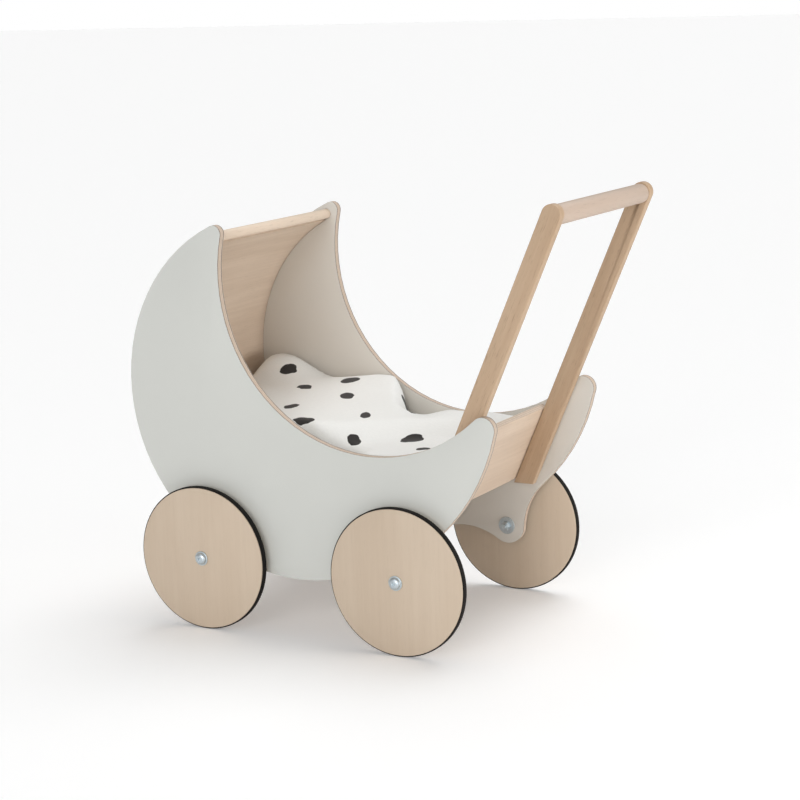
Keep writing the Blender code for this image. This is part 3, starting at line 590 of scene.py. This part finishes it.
# %% [markdown]
# ## Handle
# Two flat beech legs with round tops carry a round grip between them. The legs are copies of the CAD nodes
# with their rims rounded over, found the same way as the panels' rims; the grip is a spun dowel.

# %% Handle legs and grip
LEG_ROUNDING = 0.0014


def handle_leg(side_name):
    name = "handle_leg_" + side_name
    model = copy_of(name)
    low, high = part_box(name)
    rim = [face for face in model.faces if spans(face, 1, high[1] - low[1])]
    arrises = [edge for edge in model.edges if len(edge.link_faces) == 2
               and (edge.link_faces[0] in rim) != (edge.link_faces[1] in rim)]
    round_edges(model, arrises, LEG_ROUNDING)
    return finish_piece(name + "_bar", model, "pram_body", "beech", [beech_leg_painted_shade], [name], (0.0, 1.0, 0.0))


for side_name in ("left", "right"):
    handle_leg(side_name)
grip_low, grip_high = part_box("handle_grip")
rod("grip_dowel_round", grip_low, grip_high, (grip_high[2] - grip_low[2]) / 2, 0.0008, "pram_body", "beech",
    beech_grip_painted_shade, ["handle_grip"], steps=64)
print("handle made")

# %% [markdown]
# ## Wheels
# A wheel is a plywood disc with a rubber band stretched round its rim, turning on a nylon bush. Disc and band
# are spun from their sections about the axle, each with its own small rounding.

# %% Wheel discs, tyres and bushes
WHEEL_STEPS = 96
CORNERS = [(end, side) for end in ("front", "rear") for side in ("left", "right")]
CHAMFER = 0.0007
TYRE_SET_BACK = 0.0011


def ring_section(centre, inner, outer, low, high, ease):
    """Closed section of a ring about Y with its two outer edges eased."""
    points = [(inner, low), (outer - ease, low), (outer - ease * 0.3, low + ease * 0.3), (outer, low + ease),
              (outer, high - ease), (outer - ease * 0.3, high - ease * 0.3), (outer - ease, high),
              (inner, high)]
    return [Vector((centre.x + radius, along, centre.z)) for radius, along in points]


def turned(name, node_name, inner, outer, ease, body, slot, finish, steps=WHEEL_STEPS, inset=0.0):
    low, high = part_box(node_name)
    centre = middle_of(node_name)
    section = ring_section(centre, inner, outer, low[1] + inset, high[1] - inset, ease)
    model = spun(section, centre, (0.0, 1.0, 0.0), steps)
    return finish_piece(name, model, body, slot, [finish], [node_name], (0.0, 1.0, 0.0))


def radius_of(name):
    low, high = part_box(name)
    return (high[2] - low[2]) / 2


for end, side in CORNERS:
    corner = end + "_" + side
    body = "wheel_" + corner
    wheel_radius = radius_of("wheel_" + corner)
    bush_radius = radius_of("wheel_bush_" + corner)
    turned("disc_" + corner, "wheel_" + corner, bush_radius + 0.0002, wheel_radius, CHAMFER, body,
           "birch_plywood", birch_upright)
    turned("band_" + corner, "tyre_" + corner, wheel_radius + 0.0001, radius_of("tyre_" + corner), 0.0007, body,
           "rubber_tyre", black_rubber, inset=TYRE_SET_BACK)
    turned("bush_" + corner, "wheel_bush_" + corner, bush_radius - 0.0012, bush_radius, 0.0002, body, "nylon",
           white_nylon, steps=32)
print("wheels made:", len(CORNERS))

# %% [markdown]
# ## Fastenings
# Each wheel is held by a button-head bolt with a hexagon socket, a washer under the head, a spacer tube behind
# the wheel, and a wide washer with a lock nut inside the panel. The head is a spun dome; its flat top
# is inset, the inner points are moved onto a hexagon, and that face is pushed down to make the socket.

# %% Bolts, washers, spacers and nuts
HEAD_HEIGHT = 0.0036
HEAD_RIM = 0.0009
HEAD_FLAT = 0.0040
HEAD_EASE = 0.0003
SHANK_RADIUS = 0.0030
SHANK_EASE = 0.0005
SOCKET_WIDTH = 0.0040
SOCKET_DEPTH = 0.0018
WASHER_BORE = 0.0033
NUT_HEX_HEIGHT = 0.0046
NUT_BORE = 0.0033


def bolt(corner, out):
    """A bolt along Y; out is +1 or -1, the way its head points."""
    name = "axle_bolt_" + corner
    low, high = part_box(name)
    centre = middle_of(name)
    top = high[1] if out > 0 else low[1]
    end = low[1] if out > 0 else high[1]
    crown = radius_of(name)
    section = [(HEAD_FLAT, 0.0), (crown * 0.78, 0.0005), (crown * 0.93, 0.0015), (crown, HEAD_HEIGHT - HEAD_RIM),
               (crown, HEAD_HEIGHT - HEAD_EASE), (crown - HEAD_EASE, HEAD_HEIGHT), (SHANK_RADIUS, HEAD_HEIGHT)]
    model = bmesh.new()
    points = [Vector((centre.x + radius, top - out * drop, centre.z)) for radius, drop in section]
    points += [Vector((centre.x + SHANK_RADIUS, end + out * SHANK_EASE, centre.z)),
               Vector((centre.x + SHANK_RADIUS - SHANK_EASE, end, centre.z)), Vector((centre.x, end, centre.z))]
    corners = [model.verts.new(point) for point in points]
    edges = [model.edges.new(pair) for pair in zip(corners, corners[1:])]
    bmesh.ops.spin(model, geom=corners + edges, cent=centre, axis=(0.0, 1.0, 0.0), angle=2 * pi, steps=48,
                   use_merge=True)
    bmesh.ops.remove_doubles(model, verts=model.verts, dist=WELD)
    rim_loop = [edge for edge in model.edges if edge.is_boundary]
    floor_of_socket = bmesh.ops.holes_fill(model, edges=rim_loop, sides=0)["faces"]
    bmesh.ops.inset_individual(model, faces=floor_of_socket, thickness=HEAD_FLAT - SOCKET_WIDTH / 2)
    for vertex in floor_of_socket[0].verts:
        angle = atan2(vertex.co.z - centre.z, vertex.co.x - centre.x)
        across = cos((angle % (pi / 3)) - pi / 6)
        vertex.co.x = centre.x + cos(angle) * SOCKET_WIDTH / 2 / across
        vertex.co.z = centre.z + sin(angle) * SOCKET_WIDTH / 2 / across
    deeper = bmesh.ops.extrude_discrete_faces(model, faces=floor_of_socket)["faces"]
    bmesh.ops.translate(model, verts=deeper[0].verts, vec=(0.0, -out * SOCKET_DEPTH, 0.0))
    bmesh.ops.recalc_face_normals(model, faces=model.faces)
    return finish_piece("bolt_" + corner, model, "pram_body", "zinc_steel", [bright_zinc], [name],
                        (0.0, 1.0, 0.0))


def lock_nut(corner, out):
    """A chamfered hexagon with a round collar that closes on the bolt; the collar stands for the real nut's
    nylon ring but is one zinc piece with the hexagon.
    """
    name = "lock_nut_" + corner
    low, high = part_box(name)
    centre = middle_of(name)
    seat = high[1] if out > 0 else low[1]
    tip = low[1] if out > 0 else high[1]
    width = high[0] - low[0]
    model = bmesh.new()
    upright = Matrix.Rotation(pi / 2, 4, "X")
    made = bmesh.ops.create_cone(model, cap_ends=True, segments=6, radius1=width / sqrt(3),
                                 radius2=width / sqrt(3), depth=NUT_HEX_HEIGHT, matrix=upright)
    bmesh.ops.rotate(model, verts=made["verts"], matrix=Matrix.Rotation(pi / 6, 3, "Y"))
    bmesh.ops.translate(model, verts=made["verts"], vec=(centre.x, seat - out * NUT_HEX_HEIGHT / 2, centre.z))
    round_edges(model, list(model.edges), 0.0004, 2)
    root = seat - out * (NUT_HEX_HEIGHT - 0.0001)
    collar_radius = width / 2 - 0.0008
    section = [Vector((centre.x + radius, along, centre.z)) for radius, along in (
        (NUT_BORE, root), (collar_radius, root), (collar_radius, tip + out * 0.0007),
        (collar_radius - 0.0007, tip), (NUT_BORE + 0.0006, tip), (NUT_BORE, tip + out * 0.0004))]
    collar = spun(section, centre, (0.0, 1.0, 0.0), 40)
    collar_mesh = bpy.data.meshes.new("collar")
    collar.to_mesh(collar_mesh)
    collar.free()
    model.from_mesh(collar_mesh)
    bpy.data.meshes.remove(collar_mesh)
    return finish_piece("nut_" + corner, model, "pram_body", "zinc_steel", [bright_zinc], [name],
                        (0.0, 1.0, 0.0))


for end, side in CORNERS:
    corner = end + "_" + side
    out = -1 if side == "left" else 1
    bolt(corner, out)
    lock_nut(corner, out)
    for part, slot, finish, inner in (("head_washer_", "zinc_steel", bright_zinc, WASHER_BORE),
                                      ("nut_washer_", "zinc_steel", bright_zinc, WASHER_BORE),
                                      ("wheel_spacer_", "nylon", white_nylon, WASHER_BORE)):
        turned(part.split("_")[0] + "_ring_" + part.split("_")[1] + "_" + corner, part + corner, inner,
               radius_of(part + corner), 0.0003, "pram_body", slot, finish, steps=48)
print("fastenings made")

# %% [markdown]
# ## Hidden dowels
# The blind dowels inside the joints keep their CAD shape and get the beech finish.

# %% Finishes for the dowels
dowel_names = sorted(name for name in nodes if "dowel" in name)
for name in dowel_names:
    nodes[name].data.materials.clear()
    nodes[name].data.materials.append(beech_across_painted_light)
print("dowels finished:", len(dowel_names))

# %% [markdown]
# ## Cotton
# The bedding is woven cotton. Its threads cross over and under, so the relief is the product of two fine waves,
# and the tone varies a little from thread to thread. The duvet is printed with dark pebbles in staggered rows,
# each a little out of line, turned and sized by chance from a fixed seed. Both the weave and the print have to
# follow the cloth over its folds, so they read an attribute that stores where each point of the cloth lay when
# it was still flat, and not its place in the pram.

# %% Cotton finishes
THREAD = 0.0007
CLOTH_COLOUR = (0.84, 0.84, 0.815)
PRINT_COLOUR = (0.017, 0.014, 0.012, 1.0)
PRINT_SEED = 1
PRINT_SPAN = ((-0.235, 0.135), (-0.085, 0.085))
PEBBLE_STEP = 0.085
ROW_STEP = 0.057
PEBBLE_SHIFT = 0.012
PEBBLE_LONG = (0.010, 0.014)
PEBBLE_ROUND = (0.6, 0.9)


def pebble_rows():
    """Staggered rows of pebbles on the flat cloth: place, turn, half length and half width of each."""
    chance = Random(PRINT_SEED)
    (start, end), (near_row, far_row) = PRINT_SPAN
    pebbles = []
    for row in range(round((far_row - near_row) / ROW_STEP) + 1):
        along = start + PEBBLE_STEP / 2 * (row % 2)
        while along <= end:
            across = near_row + ROW_STEP * row
            length = chance.uniform(*PEBBLE_LONG)
            pebbles.append((along + chance.uniform(-PEBBLE_SHIFT, PEBBLE_SHIFT),
                            across + chance.uniform(-PEBBLE_SHIFT, PEBBLE_SHIFT),
                            chance.uniform(0.0, pi), length, length * chance.uniform(*PEBBLE_ROUND)))
            along += PEBBLE_STEP
    return pebbles


def cotton(name, pebbles=()):
    finish, shader = new_finish(name, 0.85)
    cloth = node(finish, "Attribute", attribute_name="cloth_place").outputs["Vector"]
    rows = node(finish, "SeparateXYZ", {"Vector": placed(finish, (THREAD, THREAD, THREAD), source=cloth)})
    warp = sums(finish, "SINE", sums(finish, "MULTIPLY", rows.outputs["X"], pi))
    weft = sums(finish, "SINE", sums(finish, "MULTIPLY", rows.outputs["Y"], pi))
    weave = sums(finish, "MULTIPLY", warp, weft)
    slub = node(finish, "TexNoise", {"Vector": placed(finish, (0.006, 0.0009, 0.01), source=cloth), "Scale": 1.0,
                                     "Detail": 3.0})
    tone = ramp(finish, slub, ((0.30, tuple(c * 0.95 for c in CLOTH_COLOUR)), (0.70, CLOTH_COLOUR)))
    if pebbles:
        wobble = node(finish, "TexNoise", {"Vector": placed(finish, (0.013, 0.013, 0.013), source=cloth),
                                           "Scale": 1.0, "Detail": 1.5})
        push = node(finish, "VectorMath", {0: wobble.outputs["Color"], 1: (0.5, 0.5, 0.5)},
                    operation="SUBTRACT")
        push = node(finish, "VectorMath", {0: push, "Scale": 0.008}, operation="SCALE")
        drawn = node(finish, "VectorMath", {0: cloth, 1: push}, operation="ADD")
        nearest = None
        for along, across, turn, length, width in pebbles:
            spot = placed(finish, (length, width, 1.0), (0.0, 0.0, turn), (along, across, 0.0), drawn)
            reach = node(finish, "VectorMath", {0: spot}, operation="LENGTH").outputs["Value"]
            nearest = reach if nearest is None else sums(finish, "MINIMUM", nearest, reach)
        ink = ramp(finish, nearest, ((0.95, 1.0), (1.0, 0.0)))
        tone = blend_colours(finish, ink, tone, PRINT_COLOUR)
    join(finish, tone, shader.inputs["Base Color"])
    shader.inputs["Sheen Weight"].default_value = 0.08
    shader.inputs["Sheen Roughness"].default_value = 0.5
    relief(finish, shader, sums(finish, "MULTIPLY_ADD", weave, 0.5, slub), 0.00012, 0.35)
    return finish


plain_cotton = cotton("plain_cotton")
pebbles = pebble_rows()
printed_cotton = cotton("printed_cotton", pebbles)
print("cotton finishes, pebbles:", len(pebbles))

# %% [markdown]
# ## Bedding
# A mattress fills the bed, a pillow lies at the hood end, and a duvet is spread over both. Each starts as a
# slightly undersized pad: a fine grid pushed into the shape that the bedding has settled to, given its filling
# by a second skin. The pad is remeshed into even small faces, a cloth simulation blows it up gently without
# gravity, and no point may move further than a set limit, so that it stays in its place in the pram. Last, a
# thin piping is sewn round the rim.

# %% Padding helpers
PUFF_FRAMES = 20
PIPING_RADIUS = 0.0011
PIPING_CALM = 3
PIPING_SLOT = 1
PIPING_SIDES = 8


def smooth(low, high, value):
    """0 below low, 1 above high, and an S-curve between."""
    share = min(1.0, max(0.0, (value - low) / (high - low)))
    return share * share * (3.0 - 2.0 * share)


def pad(name, across_x, across_y, columns, rows, top, thickness):
    """A closed pad: a grid over two spans, lifted to top(x, y), with a second skin below it."""
    model = bmesh.new()
    bmesh.ops.create_grid(model, x_segments=columns, y_segments=rows, size=0.5)
    for vertex in model.verts:
        share_x = vertex.co.x + 0.5
        share_y = vertex.co.y + 0.5
        x, y = across_x(share_x, share_y), across_y(share_x, share_y)
        vertex.co = (x, y, top(x, y))
    bmesh.ops.solidify(model, geom=model.faces[:], thickness=thickness)
    bmesh.ops.recalc_face_normals(model, faces=model.faces)
    mesh = bpy.data.meshes.new(name)
    model.to_mesh(mesh)
    model.free()
    piece = bpy.data.objects.new(name, mesh)
    bpy.context.scene.collection.objects.link(piece)
    return piece


def settled(piece):
    """Applies a piece's modifiers to its mesh."""
    evaluated = piece.evaluated_get(bpy.context.evaluated_depsgraph_get())
    mesh = bpy.data.meshes.new_from_object(evaluated)
    piece.modifiers.clear()
    old = piece.data
    piece.data = mesh
    bpy.data.meshes.remove(old)
    mesh.name = piece.name


def puff(piece, voxel, pressure, limit, flat_place):
    """Remeshes a pad evenly, swells it with a cloth simulation, and keeps each move under the limit."""
    remesh = piece.modifiers.new("Remesh", "REMESH")
    remesh.mode = "VOXEL"
    remesh.voxel_size = voxel
    settled(piece)
    rest = [vertex.co.copy() for vertex in piece.data.vertices]
    places = piece.data.attributes.new("cloth_place", "FLOAT_VECTOR", "POINT")
    for item, point in zip(places.data, rest):
        item.vector = flat_place(point)
    cloth = piece.modifiers.new("Cloth", "CLOTH")
    cloth.settings.quality = 5
    cloth.settings.mass = 0.2
    cloth.settings.tension_stiffness = 12.0
    cloth.settings.compression_stiffness = 12.0
    cloth.settings.bending_stiffness = 0.4
    cloth.settings.use_pressure = True
    cloth.settings.uniform_pressure_force = pressure
    cloth.settings.effector_weights.gravity = 0.0
    cloth.point_cache.frame_start = 1
    cloth.point_cache.frame_end = PUFF_FRAMES
    for frame_number in range(1, PUFF_FRAMES + 1):
        bpy.context.scene.frame_set(frame_number)
    settled(piece)
    bpy.context.scene.frame_set(1)
    for vertex, start in zip(piece.data.vertices, rest):
        move = vertex.co - start
        if move.length > limit:
            vertex.co = start + move.normalized() * limit
    finer = piece.modifiers.new("Finer", "SUBSURF")
    finer.levels = 1
    finer.render_levels = 1
    settled(piece)
    print(piece.name, "faces", len(piece.data.polygons))


def piping(piece, outline, flat_place):
    """Sews a thin cord of cloth round a pad where its two skins meet; outline gives points outside the rim."""
    skin = BVHTree.FromObject(piece, bpy.context.evaluated_depsgraph_get())
    path = [skin.find_nearest(Vector(point))[0] for point in outline]
    for _ in range(PIPING_CALM):
        path = [(path[i - 1] + path[i] * 2 + path[(i + 1) % len(path)]) / 4 for i in range(len(path))]
    cord = bmesh.new()
    rings = []
    for i, point in enumerate(path):
        onward = (path[(i + 1) % len(path)] - path[i - 1]).normalized()
        stand = Matrix.Translation(point) @ onward.to_track_quat("Z", "Y").to_matrix().to_4x4()
        made = bmesh.ops.create_circle(cord, cap_ends=False, segments=PIPING_SIDES,
                                      radius=PIPING_RADIUS, matrix=stand)
        rings.append(made["verts"])
    for ring, after in zip(rings, rings[1:] + rings[:1]):
        shift = min(range(PIPING_SIDES), key=lambda turn: (ring[0].co - after[turn].co).length)
        for i in range(PIPING_SIDES):
            j = (i + shift) % PIPING_SIDES
            cord.faces.new((ring[i], ring[(i + 1) % PIPING_SIDES], after[(j + 1) % PIPING_SIDES], after[j]))
    bmesh.ops.recalc_face_normals(cord, faces=cord.faces)
    places = cord.verts.layers.float_vector.new("cloth_place")
    for vertex in cord.verts:
        vertex[places] = flat_place(vertex.co)
    for face in cord.faces:
        face.material_index = PIPING_SLOT
    cord_mesh = bpy.data.meshes.new("cord")
    cord.to_mesh(cord_mesh)
    cord.free()
    both = bmesh.new()
    both.from_mesh(piece.data)
    both.from_mesh(cord_mesh)
    both.to_mesh(piece.data)
    both.free()
    bpy.data.meshes.remove(cord_mesh)


def dress(piece, finish, node_name):
    """Gives a pad its finishes and its body, and hides the CAD node that it stands for."""
    piece.data.materials.clear()
    piece.data.materials.append(finish)
    piece.data.materials.append(plain_cotton)
    piece.data.shade_smooth()
    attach(piece, "pram_body")
    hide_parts(node_name)


print("padding helpers ready, simulation", "on")

# %% [markdown]
# The duvet's top is described by a few plain rules. It lies high over the pillow, and one corner is pushed up
# against the hood. Towards the foot it falls to a valley at the far side, behind a sharp step, and to a low flap
# at the near side, behind a softer slope. Between the two a ridge runs on to the foot end.

# %% Duvet shape
FAR = 0.1180
NEAR = -0.1180
HOOD_RADIUS = min(reaches)
BED_CLEARANCE = 0.006
DUVET_THICKNESS = 0.018
DUVET_FOOT = 0.110
OVER_PILLOW = 0.239
VALLEY_HEIGHT = 0.213
RIDGE_HEIGHT = 0.228
FLAP_HEIGHT = 0.218


def hood_x(height):
    """X of the hood sheet's inner face at a height."""
    return HOOD_CENTRE.x - sqrt(HOOD_RADIUS ** 2 - (HOOD_CENTRE.z - height) ** 2)


def duvet_top(x, y):
    high = OVER_PILLOW + 0.017 * smooth(NEAR, FAR, y) - 0.010 * smooth(-0.10, 0.06, x)
    high += 0.006 * smooth(0.06, FAR, y) * smooth(-0.15, -0.06, x)
    high += 0.029 * smooth(0.03, 0.105, y) * (1.0 - smooth(-0.225, -0.145, x))
    high -= 0.012 * smooth(0.0, 0.08, y) * (1.0 - smooth(-0.250, -0.228, x))
    past_step = (x + 0.057 - 0.54 * (FAR - y)) * 0.88
    valley = smooth(-0.003, 0.009, past_step) * smooth(0.025, 0.055, y)
    height = high + (VALLEY_HEIGHT - high) * valley
    ridge = smooth(-0.01, 0.02, past_step) * smooth(-0.02, 0.02, y) * (1.0 - smooth(0.030, 0.055, y))
    height += (RIDGE_HEIGHT - height) * ridge * 0.6
    before_crest = (x + 0.075) * 0.632 - (y + 0.088) * 0.774
    fall = smooth(0.0, 0.040, before_crest) * smooth(-0.100, -0.060, x) * (1.0 - smooth(-0.03, 0.02, y))
    height += (FLAP_HEIGHT - height) * fall
    tuck = smooth(-0.090, -0.060, x) * (1.0 - smooth(-0.01, 0.03, x)) * (1.0 - smooth(-0.106, -0.080, y))
    height -= 0.028 * tuck
    height += 0.009 * smooth(0.02, 0.06, x) * smooth(-0.03, 0.05, y)
    fold = noise.noise(Vector((x * 8.0, y * 13.0, 0.4)))
    crease = noise.noise(Vector((x * 24.0 + y * 10.0, y * 20.0, 2.7)))
    return height + 0.0022 * fold + 0.0015 * crease


def duvet_x(share_x, share_y):
    start = hood_x(0.235) + BED_CLEARANCE
    return start + (DUVET_FOOT - start) * share_x


def duvet_y(share_x, share_y):
    return NEAR + (FAR - NEAR) * share_y


def on_duvet(point):
    """Where a point lay on the flat cloth: the lower it has fallen, the further along it was."""
    return (point.x + 0.8 * (0.25 - point.z), point.y, 0.0)


def rim(across_x, across_y, height, reach, steps=60):
    """Points round a pad's outline, pushed outwards by a reach, at height(x, y)."""
    shares = [(i / steps, 0.0) for i in range(steps)] + [(1.0, i / steps) for i in range(steps)]
    shares += [(1.0 - i / steps, 1.0) for i in range(steps)] + [(0.0, 1.0 - i / steps) for i in range(steps)]
    points = []
    for share_x, share_y in shares:
        x, y = across_x(share_x, share_y), across_y(share_x, share_y)
        outward = Vector((share_x - 0.5, share_y - 0.5, 0.0)).normalized() * reach
        points.append(Vector((x, y, height(x, y))) + outward)
    return points


duvet = pad("duvet_quilt", duvet_x, duvet_y, 96, 64, duvet_top, DUVET_THICKNESS)
puff(duvet, 0.004, 2.5, 0.0035, on_duvet)
piping(duvet, rim(duvet_x, duvet_y, lambda x, y: duvet_top(x, y) - DUVET_THICKNESS / 2, 0.004), on_duvet)
dress(duvet, printed_cotton, "duvet")
duvet_corners = (duvet.bound_box[0], duvet.bound_box[6])
print("duvet box", [[round(value, 3) for value in corner] for corner in duvet_corners])

# %% [markdown]
# The mattress and the pillow lie underneath and only show at the gaps, so they are plain crowned pads.

# %% Mattress and pillow
def plain_pad(name, node_name, crown, thickness, sunk):
    low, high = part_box(node_name)
    start = hood_x(low[2]) + BED_CLEARANCE + 0.006
    end = high[0] - 0.012
    summit = high[2] - sunk

    def along(share_x, share_y):
        return start + (end - start) * share_x

    def across(share_x, share_y):
        return low[1] + 0.005 + (high[1] - low[1] - 0.010) * share_y

    def top(x, y):
        middle = smooth(start, start + 0.03, x) * (1.0 - smooth(end - 0.03, end, x))
        side = smooth(low[1], low[1] + 0.03, y) * (1.0 - smooth(high[1] - 0.03, high[1], y))
        return summit - crown + crown * middle * side

    def on_pad(point):
        return (point.x, point.y, 0.0)

    piece = pad(name, along, across, 60, 44, top, thickness)
    puff(piece, 0.006, 4.0, 0.004, on_pad)
    piping(piece, rim(along, across, lambda x, y: top(x, y) - thickness / 2, 0.004), on_pad)
    dress(piece, plain_cotton, node_name)


plain_pad("mattress_pad", "mattress", 0.004, 0.020, 0.002)
plain_pad("pillow_pad", "pillow", 0.008, 0.028, 0.007)
print("mattress and pillow made")

# %% [markdown]
# ## Floor finish
# The floor has a matt white paint, and a little glow that only the lens sees keeps it white between the wheels.

# %% Floor finish
FLOOR_GLOW = 0.16
floor_finish, floor_shader = new_finish("white_floor", 0.7)
floor_shader.inputs["Base Color"].default_value = (0.88, 0.88, 0.88, 1.0)
floor_shader.inputs["Emission Color"].default_value = WHITE
seen = node(floor_finish, "LightPath").outputs["Is Camera Ray"]
join(floor_finish, sums(floor_finish, "MULTIPLY", seen, FLOOR_GLOW), floor_shader.inputs["Emission Strength"])
floor.data.materials.append(floor_finish)
print("floor finished")
